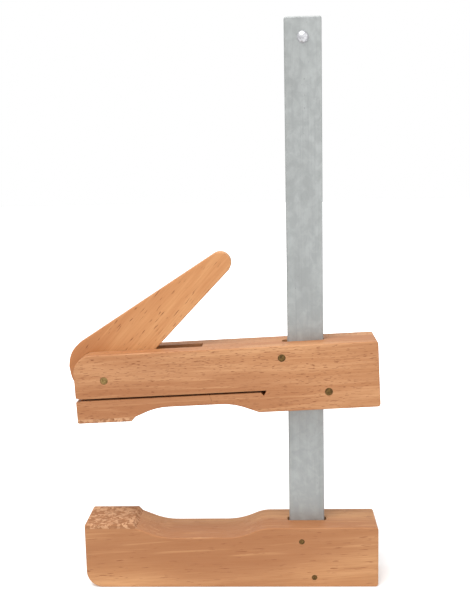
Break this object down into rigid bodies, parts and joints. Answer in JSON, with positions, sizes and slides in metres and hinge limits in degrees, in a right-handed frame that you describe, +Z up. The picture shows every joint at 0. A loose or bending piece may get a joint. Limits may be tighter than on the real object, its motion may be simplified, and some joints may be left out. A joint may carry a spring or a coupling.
{
  "type": "wooden cam clamp",
  "caption": "Light wooden bar clamp: two beech jaws with cork pads on a flat steel bar, tightened by a cam lever that presses a springy tongue.",
  "frame": {"origin": "middle of the steel bar on the underside of the fixed jaw", "axes": "+X along the jaws towards their heels, the pads lie at -X; +Y across the jaws; +Z up the bar"},
  "size_m": [0.1636, 0.027, 0.2965],
  "materials": {
    "galvanised_steel": "dull zinc coating",
    "rivet_steel": "bright, slightly worn",
    "fixed_jaw_beech": "oiled beech, satin",
    "sliding_jaw_beech": "oiled beech, satin",
    "lever_beech": "oiled beech, satin",
    "cork": "granular cork, matte",
    "dull_brass": "dull, tarnished",
    "pivot_brass": "dull, tarnished"
  },
  "bodies": {
    "bar_and_fixed_jaw": {"bar": "galvanised_steel", "stop_rivet": "rivet_steel", "fixed_jaw": "fixed_jaw_beech", "fixed_jaw_cork": "cork", "fixed_jaw_pin_upper": "dull_brass", "fixed_jaw_pin_lower": "dull_brass"},
    "lower_grip_pin": {"grip_pin_lower": "dull_brass"},
    "sliding_jaw": {"sliding_jaw": "sliding_jaw_beech", "grip_pin_upper": "dull_brass", "cam_pivot_pin": "pivot_brass"},
    "tongue": {"sliding_jaw_tongue": "sliding_jaw_beech", "sliding_jaw_cork": "cork"},
    "cam_lever": {"cam_lever": "lever_beech"}
  },
  "joints": [
    {"name": "jaw_slide", "type": "slide", "parent": "bar_and_fixed_jaw", "child": "lower_grip_pin", "axis": [0, 0, 1], "range_m": [-0.045, 0.149]},
    {"name": "jaw_rock", "type": "hinge", "parent": "lower_grip_pin", "child": "sliding_jaw", "pos_m": [0.0115, 0, 0.1077], "axis": [0, 1, 0], "range_deg": [0, 3.5]},
    {"name": "lever_swing", "type": "hinge", "parent": "sliding_jaw", "child": "cam_lever", "pos_m": [-0.10527, 0, 0.11471], "axis": [0, -1, 0], "range_deg": [0, 80]},
    {"name": "tongue_flex", "type": "hinge", "parent": "sliding_jaw", "child": "tongue", "pos_m": [-0.05349, 0, 0.10365], "axis": [0, -1, 0], "range_deg": [0, 9]}
  ],
  "couplings": [
    {"joint": "tongue_flex", "follows": "lever_swing", "ratio": 0.1068}
  ]
}
